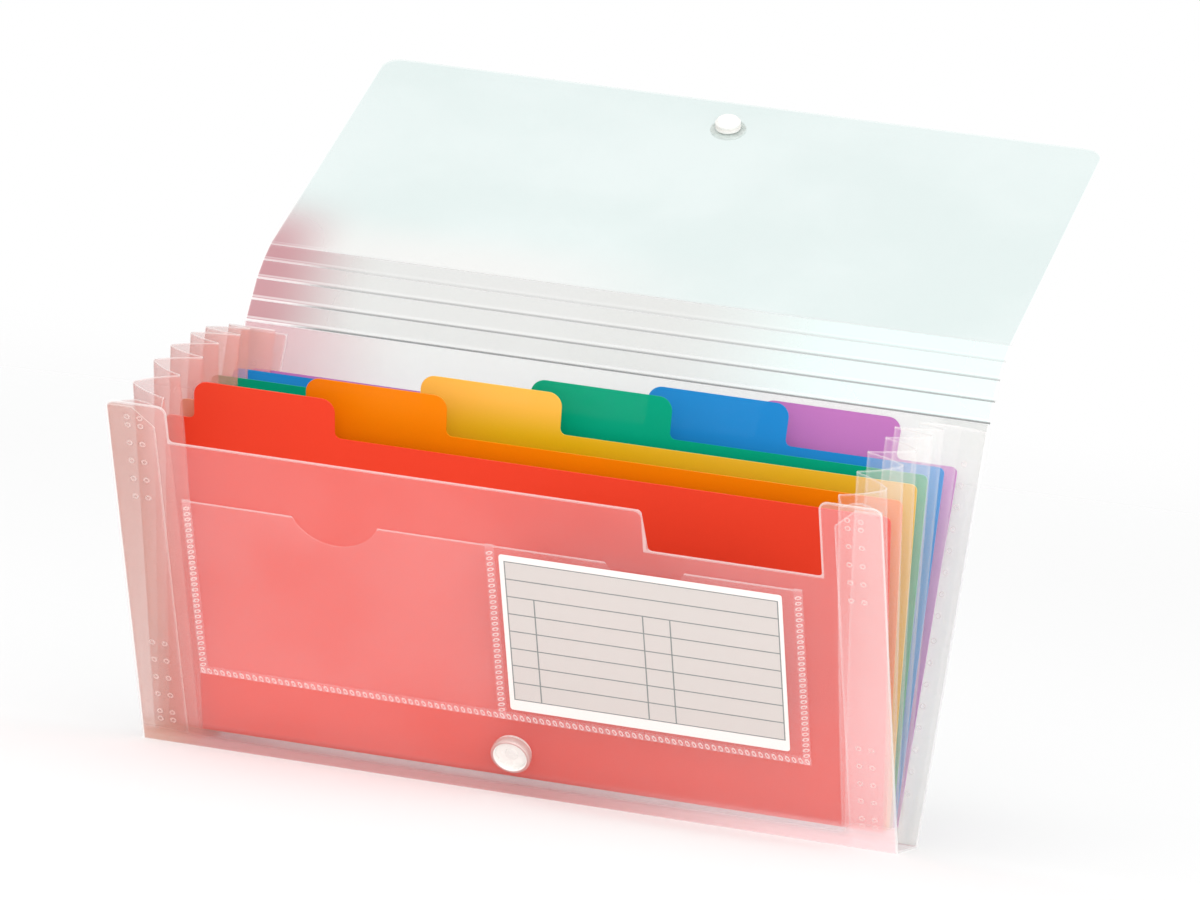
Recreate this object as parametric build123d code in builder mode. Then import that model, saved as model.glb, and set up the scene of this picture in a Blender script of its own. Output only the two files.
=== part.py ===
from build123d import *
import os
from math import atan2, cos, radians, sin, sqrt, tan

# Expanding file of creased plastic sheet, shown open.
# Frame: +X to the right of someone facing the front, +Y to the back, +Z up.
# Origin: middle of the underside, where the file stands. Millimetres and degrees.
# A lean is the angle of a leaf from upright, positive towards the front.

# Sheets
cover_thickness = 0.6
divider_thickness = 0.4
film_thickness = 0.3
pocket_thickness = 0.25
card_thickness = 0.3

# Clearances
crease_gap = 0.15
glue_gap = 0.1
card_gap = 0.1
rivet_gap = 0.15

# Two heights this close count as one when corners are picked
level_tolerance = 0.01

# Cover: one width for the bottom, front, back and flap
cover_width = 250.0
bottom_depth = 26.0
corner_radius = 3.0

# Front panel: two ears, a brim between them and a dip in the brim at the right
front_lean = 35.0
ear_drop = 1.0
ear_width = 20.0
ear_rise = 13.5
dip_depth = 15.5
dip_width = 57.0
dip_slope = 1.5

# Back panel and flap; the leans are those of the creased strips and then of the flap
back_lean = -11.0
strip_length = 7.5
flap_leans = (-24.0, -25.0, -38.5, -47.5, -58.5)
flap_length = 120.0
flap_radius = 6.5

# Dividers: colour, lean, and place of the foot counted in gusset pitches from the front panel
dividers = (
    ("red", 22.5, 2.0),
    ("orange", 17.2, 3.0),
    ("yellow", 10.5, 4.0),
    ("green", 5.8, 5.0),
    ("blue", -2.8, 6.0),
    ("purple", -9.8, 6.9),
)
pitch_count = 7.6
divider_inset = 3.3
divider_foot = 5.5
divider_drop = 26.0
divider_step = 1.2
tab_height = 13.0
tab_width = 46.5
first_tab_margin = 9.8
last_tab_margin = 20.3
tab_radius = 4.5
foot_radius = 2.0

# Accordion gusset: pleats of equal width between the leaves, and one pleat that holds no divider
loose_pleat = (29.2, 1.0)
pleat_width = 15.0
gusset_drop = 2.0
gusset_foot = 1.6
fold_inset = 3.4
fold_flat = 1.2
crest_flat = 0.8
glue_inset = 0.5
flap_cut = 7.0
trim_margin = 3.0

# Front pocket, welded to the outside of the front panel
pocket_left_margin = 22.5
pocket_right_margin = 26.5
pocket_rise = 7.5
pocket_drop = 6.0
seam_width = 2.6
thumb_width = 28.0
thumb_depth = 9.5
slot_width = 29.0
slot_depth = 3.0
slot_angle = 60.0

# Index card in the right half of the pocket
card_height = 61.5
card_margin = 1.5
card_slack = 4.1
card_radius = 1.0

# Snap fastener
socket_rise = 17.0
socket_diameter = 13.0
socket_height = 2.4
socket_floor = 0.6
socket_recess = 10.2
rim_bevel = 0.4
stud_inset = 16.0
stud_diameter = 8.6
stud_height = 3.0
stud_bevel = 0.8
stud_waist = 0.4
waist_height = 0.8
cap_diameter = 12.0
cap_height = 1.1
cap_bevel = 0.4
rivet_diameter = 3.6
rivet_head = 0.3

os.makedirs("parts", exist_ok=True)


def leaf_plane(y, z, lean):
    """Plane of a leaf: origin on its crease, X along the crease, Y up the leaf, Z to the front."""
    return Plane(origin=(0, y, z), x_dir=(1, 0, 0), z_dir=(0, -cos(radians(lean)), -sin(radians(lean))))


def up_leaf(y, z, lean, length):
    """Point reached by going up a leaf from its crease."""
    return y - length * sin(radians(lean)), z + length * cos(radians(lean))


def creased_sheet(plane, width, length, thickness):
    """Sheet with a round bead on its crease, for use inside a BuildPart block."""
    bead = thickness / 2
    side = Plane(plane.origin - plane.x_dir * (width / 2), x_dir=plane.y_dir, z_dir=plane.x_dir)
    with BuildSketch(side) as profile:
        with BuildLine():
            Polyline((0, -bead), (length, -bead), (length, bead), (0, bead))
            ThreePointArc((0, bead), (-bead, 0), (0, -bead))
        make_face()
    extrude(profile.sketch, amount=width)


def corners(sketch, height):
    """Corners of a sketch that lie at one height."""
    return sketch.vertices().filter_by_position(Axis.Y, height - level_tolerance, height + level_tolerance)


def write(part, name):
    """Label a finished piece and write its file."""
    part.label = name
    export_step(part, f"parts/{name}.step")


bead_radius = cover_thickness / 2
crease_relief = bead_radius + crease_gap
front_crease = -bottom_depth / 2
back_crease = bottom_depth / 2
crease_level = bead_radius
pitch = bottom_depth / pitch_count

# Shut, two strips lie over the mouth and the stud drops to the socket, so the heights follow the flap
stud_reach = flap_length - stud_inset
back_height = socket_rise + stud_reach + 2 * strip_length
ear_height = back_height - ear_drop
brim_height = ear_height - ear_rise
dip_height = brim_height - dip_depth

front_plane = leaf_plane(front_crease, crease_level, front_lean)
back_plane = leaf_plane(back_crease, crease_level, back_lean)

# Bottom panel, between the two lower creases
with BuildPart() as bottom_panel:
    with BuildSketch(Plane.XY):
        Rectangle(cover_width, bottom_depth - 2 * crease_relief)
    extrude(amount=cover_thickness)
write(bottom_panel.part, "bottom_panel")

# Front panel, with an ear at each side and a dip in its brim
ear_inside = cover_width / 2 - ear_width
dip_start = ear_inside - dip_width
with BuildPart() as front_panel:
    creased_sheet(front_plane, cover_width, ear_height, cover_thickness)
    with BuildSketch(front_plane) as front_outline:
        with BuildLine():
            Polyline(
                (-cover_width / 2, -cover_thickness),
                (-cover_width / 2, ear_height),
                (-ear_inside, ear_height),
                (-ear_inside, brim_height),
                (dip_start, brim_height),
                (dip_start + dip_slope, dip_height),
                (ear_inside, dip_height),
                (ear_inside, ear_height),
                (cover_width / 2, ear_height),
                (cover_width / 2, -cover_thickness),
                close=True,
            )
        make_face()
        fillet(corners(front_outline, ear_height), corner_radius)
        fillet(corners(front_outline, brim_height), corner_radius / 2)
        fillet(corners(front_outline, dip_height), corner_radius / 2)
    extrude(amount=cover_thickness, both=True, mode=Mode.INTERSECT)
    with BuildSketch(front_plane):
        with Locations((0, socket_rise)):
            Circle(rivet_diameter / 2 + rivet_gap)
    extrude(amount=cover_thickness, both=True, mode=Mode.SUBTRACT)
write(front_panel.part, "front_panel")

# Back panel
with BuildPart() as back_panel:
    creased_sheet(back_plane, cover_width, back_height - crease_relief, cover_thickness)
write(back_panel.part, "back_panel")

# Creased strips that let the flap bend over a full or an empty file
crease_y, crease_z = up_leaf(back_crease, crease_level, back_lean, back_height)
for number, lean in enumerate(flap_leans[:-1], start=1):
    with BuildPart() as flap_strip:
        creased_sheet(
            leaf_plane(crease_y, crease_z, lean), cover_width, strip_length - crease_relief, cover_thickness
        )
    write(flap_strip.part, f"flap_strip_{number}")
    crease_y, crease_z = up_leaf(crease_y, crease_z, lean, strip_length)

# Flap
flap_plane = leaf_plane(crease_y, crease_z, flap_leans[-1])
with BuildPart() as flap_panel:
    creased_sheet(flap_plane, cover_width, flap_length, cover_thickness)
    with BuildSketch(flap_plane) as flap_outline:
        with Locations((0, (flap_length - cover_thickness) / 2)):
            Rectangle(cover_width, flap_length + cover_thickness)
        fillet(corners(flap_outline, flap_length), flap_radius)
    extrude(amount=cover_thickness, both=True, mode=Mode.INTERSECT)
    with BuildSketch(flap_plane):
        with Locations((0, stud_reach)):
            Circle(rivet_diameter / 2 + rivet_gap)
    extrude(amount=cover_thickness, both=True, mode=Mode.SUBTRACT)
write(flap_panel.part, "flap_panel")

# Dividers, each a little taller than the one before it, with staggered tabs
outer_fold = cover_width / 2 - fold_inset
divider_width = 2 * (outer_fold - divider_inset)
divider_height = ear_height - divider_drop
tab_start = first_tab_margin - divider_width / 2
tab_spacing = (divider_width - first_tab_margin - last_tab_margin - tab_width) / (len(dividers) - 1)
for number, (colour, lean, place) in enumerate(dividers):
    foot_y, foot_z = up_leaf(front_crease + place * pitch, crease_level, lean, divider_foot)
    plane = leaf_plane(foot_y, foot_z, lean)
    shoulder = divider_height + number * divider_step
    tab_middle = tab_start + number * tab_spacing + tab_width / 2
    with BuildPart() as divider:
        creased_sheet(plane, divider_width, shoulder + tab_height, divider_thickness)
        with BuildSketch(plane) as outline:
            with Locations((0, (shoulder - divider_thickness) / 2)):
                Rectangle(divider_width, shoulder + divider_thickness)
            with Locations((tab_middle, shoulder)):
                Rectangle(tab_width, 2 * tab_height)
            fillet(corners(outline, shoulder + tab_height), tab_radius)
            fillet(corners(outline, shoulder), foot_radius)
        extrude(amount=divider_thickness, both=True, mode=Mode.INTERSECT)
    write(divider.part, f"divider_{colour}")

# Accordion gusset. A level section is a zigzag film: a glue flap on the front panel, then pleats
# that run in to a crest and out to a fold at each leaf, then a glue flap on the back panel.
# All pleats are equally wide, so the crests draw in as the leaves spread towards the top.
glue_offset = bead_radius + glue_gap + film_thickness / 2
purple_lean, purple_place = dividers[-1][1:]
folds = [loose_pleat] + [(lean, place) for _, lean, place in dividers[:-1]]
gusset_height = ear_height - gusset_drop
glue_fold = cover_width / 2 - glue_inset


def leaf_at(level, lean, place):
    """Y of a leaf's middle at one level."""
    return front_crease + place * pitch - (level - crease_level) * tan(radians(lean))


def fold_lines(level):
    """X, front Y and rear Y of each outer fold at one level, from the front panel to the back panel."""
    front_glue = leaf_at(level, front_lean, 0) + glue_offset / cos(radians(front_lean))
    back_glue = leaf_at(level, back_lean, pitch_count) - glue_offset / cos(radians(back_lean))
    lines = [(glue_fold, front_glue, front_glue + fold_flat)]
    for lean, place in folds:
        middle = leaf_at(level, lean, place)
        lines.append((outer_fold, middle - fold_flat / 2, middle + fold_flat / 2))
    lines.append((glue_fold, leaf_at(level, purple_lean, purple_place) - fold_flat / 2, back_glue))
    return lines


def pleat_line(level):
    """Middle line of the film at one level, as X and Y points, for the right-hand side."""
    lines = fold_lines(level)
    points = [(glue_fold - pleat_width, lines[0][1])]
    for (x, front, rear), (_, next_front, _) in zip(lines, lines[1:]):
        middle = (rear + next_front) / 2
        spread = (next_front - rear - crest_flat) / 2
        crest = outer_fold - sqrt(pleat_width**2 - spread**2)
        points += [(x, front), (x, rear), (crest, middle - crest_flat / 2), (crest, middle + crest_flat / 2)]
    points += [lines[-1][:2], (glue_fold, lines[-1][2]), (glue_fold - pleat_width, lines[-1][2])]
    return points


def film_side(points, offset):
    """The line moved sideways by half the film, with mitred corners."""
    moved = []
    for index, (x, y) in enumerate(points):
        before = points[max(index - 1, 0)]
        after = points[min(index + 1, len(points) - 1)]
        start = atan2(y - before[1], x - before[0]) if index else atan2(after[1] - y, after[0] - x)
        end = atan2(after[1] - y, after[0] - x) if index < len(points) - 1 else start
        half_turn = atan2(sin(end - start), cos(end - start)) / 2
        reach = offset / cos(half_turn)
        moved.append((x - reach * sin(start + half_turn), y + reach * cos(start + half_turn)))
    return moved


def film_outline(level):
    """Closed outline of the zigzag film at one level."""
    line = pleat_line(level)
    return film_side(line, film_thickness / 2) + film_side(line, -film_thickness / 2)[::-1]


top_front = up_leaf(front_crease, crease_level, front_lean, gusset_height)
_, middle_lean, middle_place = dividers[2]
top_middle = up_leaf(front_crease + middle_place * pitch, crease_level, middle_lean, gusset_height)
top_back = up_leaf(back_crease, crease_level, back_lean, gusset_height)
loft_top = crease_level + gusset_height + trim_margin
trim_reach = bottom_depth + 2 * gusset_height

with BuildPart() as gusset_right:
    for level in (gusset_foot, loft_top):
        with BuildSketch(Plane.XY.offset(level)):
            Polygon(*film_outline(level), align=None)
    loft(ruled=True)
    # The upper edge follows the tops of the leaves
    with BuildSketch(Plane.YZ):
        with BuildLine():
            rim = ThreePointArc(top_front, top_middle, top_back)
            front_end = rim @ 0 - (rim % 0) * trim_reach
            back_end = rim @ 1 + (rim % 1) * trim_reach
            Line(front_end, rim @ 0)
            Line(rim @ 1, back_end)
            trim_top = back_end.Y + trim_reach
            Polyline(back_end, (back_end.X, trim_top), (front_end.X, trim_top), front_end)
        make_face()
    extrude(amount=cover_width, mode=Mode.SUBTRACT)
    # The front glue flap and its pleat have a cut inner corner
    with BuildSketch(front_plane):
        with Locations((glue_fold - pleat_width, gusset_height)):
            Rectangle(flap_cut * sqrt(2), flap_cut * sqrt(2), rotation=45)
    extrude(amount=-pleat_width / 2, mode=Mode.SUBTRACT)
write(gusset_right.part, "gusset_right")

with BuildPart() as gusset_left:
    mirror(gusset_right.part, about=Plane.YZ)
write(gusset_left.part, "gusset_left")

# Front pocket: a film held off the panel by its seams, with room for the card behind it
card_level = bead_radius + card_gap
pocket_level = card_level + card_thickness + card_gap
pocket_left = pocket_left_margin - cover_width / 2
pocket_right = cover_width / 2 - pocket_right_margin
pocket_bottom = socket_rise + socket_diameter / 2 + pocket_rise
pocket_top = dip_height - pocket_drop
pocket_width = pocket_right - pocket_left
pocket_height = pocket_top - pocket_bottom
pocket_middle = (pocket_left + pocket_right) / 2
thumb_radius = ((thumb_width / 2) ** 2 + thumb_depth**2) / (2 * thumb_depth)
with BuildPart() as front_pocket:
    with BuildSketch(front_plane.offset(pocket_level)):
        with Locations((pocket_middle, (pocket_bottom + pocket_top) / 2)):
            Rectangle(pocket_width, pocket_height)
        with Locations(((pocket_left + pocket_middle) / 2, pocket_top - thumb_depth + thumb_radius)):
            Circle(thumb_radius, mode=Mode.SUBTRACT)
        with Locations(((pocket_middle + pocket_right) / 2, pocket_top)):
            Trapezoid(slot_width, 2 * slot_depth, slot_angle, rotation=180, mode=Mode.SUBTRACT)
    extrude(amount=pocket_thickness)
    with BuildSketch(front_plane.offset(bead_radius)):
        with Locations((pocket_middle, pocket_bottom + seam_width / 2)):
            Rectangle(pocket_width, seam_width)
        for seam in (pocket_left + seam_width / 2, pocket_middle, pocket_right - seam_width / 2):
            with Locations((seam, (pocket_bottom + pocket_top) / 2)):
                Rectangle(seam_width, pocket_height)
    extrude(amount=pocket_level - bead_radius)
write(front_pocket.part, "front_pocket")

# Index card
card_left = pocket_middle + seam_width / 2 + card_margin
card_width = pocket_right - seam_width - card_slack - card_left
card_bottom = pocket_bottom + seam_width + card_margin
with BuildPart() as index_card:
    with BuildSketch(front_plane.offset(card_level)):
        with Locations((card_left + card_width / 2, card_bottom + card_height / 2)):
            RectangleRounded(card_width, card_height, card_radius)
    extrude(amount=card_thickness)
write(index_card.part, "index_card")


def snap_plane(leaf, rise):
    """Plane of a snap on a leaf: Z runs along the snap's axis to the front."""
    return Plane(leaf.origin + leaf.y_dir * rise, x_dir=leaf.x_dir, z_dir=leaf.z_dir)


def round_edges(plane):
    """Circular edges of the piece being built, in order along the snap's axis."""
    return edges().filter_by(GeomType.CIRCLE).sort_by(Axis(plane.origin, plane.z_dir))


def snap_rivet(plane, post_top):
    """Round cap behind the sheet with a post through it, for use inside a BuildPart block."""
    with BuildSketch(plane.offset(-bead_radius)) as cap:
        Circle(cap_diameter / 2)
    extrude(cap.sketch, amount=-cap_height)
    chamfer(round_edges(plane)[:1], cap_bevel)
    with BuildSketch(plane.offset(-bead_radius)) as post:
        Circle(rivet_diameter / 2)
    extrude(post.sketch, amount=bead_radius + post_top)


# Snap on the front panel: a cup on the outside, riveted through the sheet
socket_plane = snap_plane(front_plane, socket_rise)
rivet_hole = rivet_diameter / 2 + rivet_gap
with BuildPart() as snap_socket:
    with BuildSketch(socket_plane.offset(bead_radius)):
        Circle(socket_diameter / 2)
        Circle(rivet_hole, mode=Mode.SUBTRACT)
    extrude(amount=socket_height)
    with BuildSketch(socket_plane.offset(bead_radius + socket_floor)):
        Circle(socket_recess / 2)
    extrude(amount=socket_height, mode=Mode.SUBTRACT)
    chamfer(round_edges(socket_plane)[-2:], rim_bevel)
write(snap_socket.part, "snap_socket")

with BuildPart() as socket_rivet:
    snap_rivet(socket_plane, bead_radius + socket_floor)
    with BuildSketch(socket_plane.offset(bead_radius + socket_floor)):
        Circle(rivet_diameter / 2 + rivet_head)
    extrude(amount=rivet_head)
    chamfer(round_edges(socket_plane)[-1:], rivet_head / 2)
write(socket_rivet.part, "socket_rivet")

# Snap on the flap: a waisted stud on the inside, riveted through the sheet
stud_plane = snap_plane(flap_plane, stud_reach)
with BuildPart() as snap_stud:
    with BuildSketch(stud_plane.offset(bead_radius)):
        Circle(stud_diameter / 2)
    extrude(amount=stud_height)
    chamfer(round_edges(stud_plane)[-1:], stud_bevel)
    with BuildSketch(stud_plane.offset(bead_radius + waist_height)):
        Circle(stud_diameter / 2)
        Circle(stud_diameter / 2 - stud_waist, mode=Mode.SUBTRACT)
    extrude(amount=waist_height, mode=Mode.SUBTRACT)
    with BuildSketch(stud_plane.offset(bead_radius)):
        Circle(rivet_hole)
    extrude(amount=stud_height / 2, mode=Mode.SUBTRACT)
write(snap_stud.part, "snap_stud")

with BuildPart() as stud_rivet:
    snap_rivet(stud_plane, bead_radius + stud_height / 2 - rivet_gap)
write(stud_rivet.part, "stud_rivet")
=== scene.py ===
"""Looks of an expanding file of frosted plastic sheet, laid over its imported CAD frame."""

from functools import partial
from math import asin, atan2, cos, hypot, radians, sin, sqrt, tan

import bmesh
import bpy
from bpy.props import FloatProperty, FloatVectorProperty, IntProperty, PointerProperty
from mathutils import Matrix, Vector


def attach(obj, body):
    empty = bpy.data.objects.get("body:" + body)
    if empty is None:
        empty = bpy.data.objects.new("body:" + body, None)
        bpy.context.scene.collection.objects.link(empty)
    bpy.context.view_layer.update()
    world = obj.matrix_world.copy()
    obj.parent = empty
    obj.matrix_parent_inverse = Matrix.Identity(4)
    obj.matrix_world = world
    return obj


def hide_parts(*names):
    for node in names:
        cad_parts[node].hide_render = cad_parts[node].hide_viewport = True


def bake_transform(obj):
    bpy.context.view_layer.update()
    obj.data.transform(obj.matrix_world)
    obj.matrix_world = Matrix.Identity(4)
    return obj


bl_info = {
    "name": "Expanding File",
    "version": (1, 0, 0),
    "blender": (4, 5, 0),
    "location": "3D View > Sidebar > File",
    "description": "Dresses the packed expanding file with film, pleats, welds and a stage",
    "category": "Object",
}

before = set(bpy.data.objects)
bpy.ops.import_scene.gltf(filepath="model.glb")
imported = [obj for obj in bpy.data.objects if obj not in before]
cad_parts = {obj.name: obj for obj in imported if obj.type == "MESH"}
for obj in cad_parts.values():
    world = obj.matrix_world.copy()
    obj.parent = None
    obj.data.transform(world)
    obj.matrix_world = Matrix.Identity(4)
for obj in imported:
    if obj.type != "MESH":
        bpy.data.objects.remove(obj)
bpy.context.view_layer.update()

# Sizes in this script are in millimetres and angles in degrees, unless a line says otherwise
MM = 0.001

# Cover
COVER_HALF = 125.0
SHEET_HALF = 0.3
BOTTOM_DEPTH = 26.0
CORNER_RADIUS = 3.0
EAR_HEIGHT = 135.0
EAR_INSIDE = 105.0
BRIM_HEIGHT = 121.5
DIP_HEIGHT = 106.0
DIP_START = 48.5
BACK_HEIGHT = 136.0
STRIP_LENGTH = 7.5
FLAP_LEANS = (-24.0, -25.0, -38.5, -47.5, -58.5)
FLAP_LENGTH = 120.0
FLAP_RADIUS = 6.5

# Leaves: Y and Z of the crease, and the lean from upright, positive to the front
FRONT_CREASE = -BOTTOM_DEPTH / 2
CREASE_LEVEL = SHEET_HALF
LEAVES = {"front": (FRONT_CREASE, CREASE_LEVEL, 35.0), "back": (-FRONT_CREASE, CREASE_LEVEL, -11.0)}

# Dividers: colour, lean, and place of the foot counted in pitches from the front panel
PITCH_COUNT = 7.6
PITCH = BOTTOM_DEPTH / PITCH_COUNT
DIVIDER_FOOT = 5.5
DIVIDERS = (
    ("red", 22.5, 2.0),
    ("orange", 17.2, 3.0),
    ("yellow", 10.5, 4.0),
    ("green", 5.8, 5.0),
    ("blue", -2.8, 6.0),
    ("purple", -9.8, 6.9),
)

# Gussets: the outer folds are leans and places, the first of a pleat that holds no divider
FOLDS = ((29.2, 1.0), *(turn for _, *turn in DIVIDERS[:-1]))
LAST_LEAF = DIVIDERS[-1][1:]
RIM_LEAF = DIVIDERS[2][1:]
GLUE_FOLD = 124.5
LAST_STEP = 1.0
OUTER_FOLD = 121.6
GLUE_OFFSET = 0.55
GUSSET_FOOT = 1.6
GUSSET_HEIGHT = 133.0
CORNER_CUT = 7.0
RIM_BAND = 0.8

# Half pleats from the front to the back: the body each turns with, and its share of that turn at both ends
HALF_PLEATS = (
    ("1a", "front", 1.0, 0.905),
    ("1b", "front", 0.905, 0.824),
    ("2a", "front", 0.824, 0.728),
    ("2b", "front", 0.728, 0.6285),
    ("3a", "divider_red", 1.0, 0.876),
    ("3b", "divider_red", 0.876, 0.75),
    ("4a", "divider_red", 0.75, 0.599),
    ("4b", "divider_red", 0.599, 0.44),
    ("5a", "divider_orange", 0.586, 0.4366),
    ("5b", "divider_orange", 0.4366, 0.282),
    ("6a", "divider_green", 1.0, 0.0),
    ("6b", "divider_blue", 0.0, 1.0),
    ("7a", "divider_purple", 0.364, 0.6835),
    ("7b", "back", 0.591, 0.864),
    ("last", "back", 0.864, 1.0),
)

# Points along half a pleat: its folds and crests are marked for a painted highlight, and the steps of its
# panel between them aren't
PANEL_STEPS = (0.06, 0.28, 0.5, 0.72, 0.94)
HALF_POINTS = len(PANEL_STEPS) + 4
PANEL_MARKS = [0.0] * len(PANEL_STEPS)
PLEAT_MARKS = [1.0, *PANEL_MARKS, 1.0, 1.0, 1.0, *PANEL_MARKS, 1.0, 1.0]

# Steps across a glue flap, and passes that settle the height of a pleat's rim
FLAP_STEPS = {0.0, 0.06, 0.5, 0.94, 1.0}
RIM_PASSES = 8

# Pocket and snap on the front panel
POCKET = {"left": -102.5, "right": 98.5, "middle": -2.0, "bottom": 31.0, "top": 100.0}
POCKET_SEAM = 2.6
POCKET_FACE = 1.05
# The snap's step is the half width of the painted shadow line inside its clear wall
SOCKET = {"up": 17.0, "disc": 5.7, "soft": 0.3, "step": 0.25}

# Table on the index card: its box, its rows, and its upright lines as shares of its width
TABLE = {"left": 2.5, "right": 90.4, "bottom": 39.4, "top": 94.2}
TABLE_ROWS = 8
TABLE_HEAD = 2
TABLE_UPRIGHTS = (0.1, 0.5, 0.6)

# Weld spots: leaf, inset from its end, places beside that line, upper and lower start, and spots after each
SPOT_ROWS = (
    ("front", 9.0, (-2.1, 2.1), (129.5, 9.0), 5),
    ("back", 6.0, (0.0,), (122.0, 16.0), 7),
)
PAIR_GAP = 3.1


def up_leaf(y, z, lean, length):
    """Y and Z reached by going up a leaf from its crease."""
    return y - length * sin(radians(lean)), z + length * cos(radians(lean))


def place_leaves():
    """Adds the dividers, and then the creased strips and the flap, each starting where the last one ends."""
    for colour, lean, place in DIVIDERS:
        foot = up_leaf(FRONT_CREASE + place * PITCH, CREASE_LEVEL, lean, DIVIDER_FOOT)
        LEAVES[f"divider_{colour}"] = (*foot, lean)
    y, z, lean = LEAVES["back"]
    length = BACK_HEIGHT
    for number, next_lean in enumerate(FLAP_LEANS, start=1):
        y, z = up_leaf(y, z, lean, length)
        name = f"strip_{number}" if number < len(FLAP_LEANS) else "flap"
        LEAVES[name] = (y, z, next_lean)
        lean, length = next_lean, STRIP_LENGTH


place_leaves()


def leaf_axes(leaf):
    """Crease point in metres, direction up the leaf, and direction out of its front face."""
    y, z, lean = LEAVES[leaf]
    turn = radians(lean)
    return (
        Vector((0, y * MM, z * MM)),
        Vector((0, -sin(turn), cos(turn))),
        Vector((0, -cos(turn), -sin(turn))),
    )


def on_leaf(leaf, across, up, out):
    """Point in metres from millimetres across, up and out of a leaf."""
    crease, rise, front = leaf_axes(leaf)
    return crease + Vector((across * MM, 0, 0)) + rise * (up * MM) + front * (out * MM)


# Properties


def tint(name, colour, words):
    """Colour property, with its default in screen values from 0 to 255."""

    def linear(value):
        part = value / 255
        return part / 12.92 if part <= 0.04045 else ((part + 0.055) / 1.055) ** 2.4

    default = tuple(linear(value) for value in colour)
    return FloatVectorProperty(
        name=name, description=words, default=default, subtype="COLOR", size=3, min=0.0, max=1.0
    )


def share(name, value, words):
    """Property from 0 to 1 with its default."""
    return FloatProperty(name=name, description=words, default=value, subtype="FACTOR", min=0.0, max=1.0)


def size(name, value, words):
    """Length property in metres, from a default in millimetres."""
    return FloatProperty(
        name=name, description=words, default=value * MM, subtype="DISTANCE", unit="LENGTH", min=0.0
    )


def power(name, value, words):
    """Power property of a lamp in watts."""
    return FloatProperty(name=name, description=words, default=value, unit="POWER", min=0.0)


class CoverLooks(bpy.types.PropertyGroup):
    """Frosted sheet of the front, bottom, back and flap."""

    # The front's pale haze is the sheet's own; its pink is painted red light that the red divider throws
    # through the film
    front_haze_and_red_bounce: tint("Front tint", (255, 226, 228), "Haze of the front panel")
    back_tint: tint("Back tint", (216, 217, 212), "Haze of the back panel and the creased strips")
    flap_tint: tint("Flap tint", (186, 212, 208), "Haze of the flap")
    # Painted red light: the pink that the red front and divider throw onto the left ends of the back, strips
    # and flap, and onto the bottom
    painted_red_bounce: tint("Blush", (206, 138, 146), "Cast on the left ends of the back and the strips")
    # Painted shade: darker pink band on the front below the dividers
    painted_foot_shade: tint("Foot tint", (196, 122, 118), "Cast on the front below the dividers")
    # Painted shade: darker pink band along the fold below the front
    painted_fold_shade: tint("Fold tint", (212, 148, 146), "Cast along the fold below the front")
    # Painted red light on the left end of the front
    painted_ear_red_bounce: tint("Ear tint", (216, 168, 152), "Cast on the left end of the front")
    front_cover: share("Front cover", 0.09, "How much one face of the front hides")
    strip_cover: share("Strip cover", 0.29, "How much one face of a strip hides")
    back_cover: share("Back cover", 0.24, "How much one face of the back hides")
    pocket_cover: share("Pocket cover", 0.045, "How much one face of the pocket hides")
    # The bright line along a cut edge is a painted glow, standing for light carried along inside the sheet
    edge_glow_cover: share("Edge cover", 0.3, "Cover along the cut edges")
    pocket_edge_glow: share("Pocket edge", 0.2, "Cover along the cut edges of the pocket")
    edge_width: size("Edge width", 0.9, "Width of the bright line along a cut edge")
    # The score of a crease is real; its dark line is painted shade, and the pale line beside it is a painted
    # highlight
    painted_crease_shade: tint("Crease shade", (120, 122, 120), "Dark line along a crease")
    crease_width: size("Crease width", 0.5, "Half width of the dark line along a crease")


class GussetLooks(bpy.types.PropertyGroup):
    """Pleated film at the two ends."""

    film: size("Film", 0.3, "Thickness of the pleated film")
    pleat_width: size("Pleat width", 15.0, "Width of half a pleat, from fold to crest")
    fold_flat: size("Fold flat", 1.2, "Flat at the outer folds")
    crest_flat: size("Crest flat", 0.8, "Flat at the crests")
    bow: share("Bow", 0.05, "Bow of a pleat panel as a share of the pleat's opening")
    rows: IntProperty(name="Rows", description="Steps up a pleat panel", default=14, min=4, max=60)
    # The pink of the left gusset is painted red light thrown on it by the red front; the right gusset keeps
    # its plain haze
    left_haze_and_red_bounce: tint("Left tint", (208, 146, 138), "Haze of the left gusset at its outer folds")
    inner_left_haze_and_red_bounce: tint("Left inner tint", (236, 164, 156), "Haze of the left gusset at its crests")
    tint_right: tint("Right tint", (250, 246, 244), "Haze of the right gusset")
    cover_left: share("Left cover", 0.24, "How much one face of the left film hides")
    cover_right: share("Right cover", 0.058, "How much one face of the right film hides")


class DividerLooks(bpy.types.PropertyGroup):
    """Coloured sheets."""

    red: tint("Red", (232, 66, 42), "First divider")
    orange: tint("Orange", (246, 136, 4), "Second divider")
    yellow: tint("Yellow", (255, 198, 84), "Third divider")
    green: tint("Green", (0, 168, 130), "Fourth divider")
    blue: tint("Blue", (30, 142, 216), "Fifth divider")
    purple: tint("Purple", (200, 122, 190), "Sixth divider")
    # Painted shade: the third divider darker and deeper in colour below its tab, where it stands between the
    # other sheets
    yellow_foot: tint("Yellow foot", (226, 186, 10), "Third divider below its tab")
    tab_foot: size("Tab foot", 108.0, "Height below which a divider has its foot's colour")
    tab_fade: size("Tab fade", 14.0, "Height over which that colour fades into the tab's")
    cover: share("Cover", 0.9, "How much one face of a divider hides")


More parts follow.
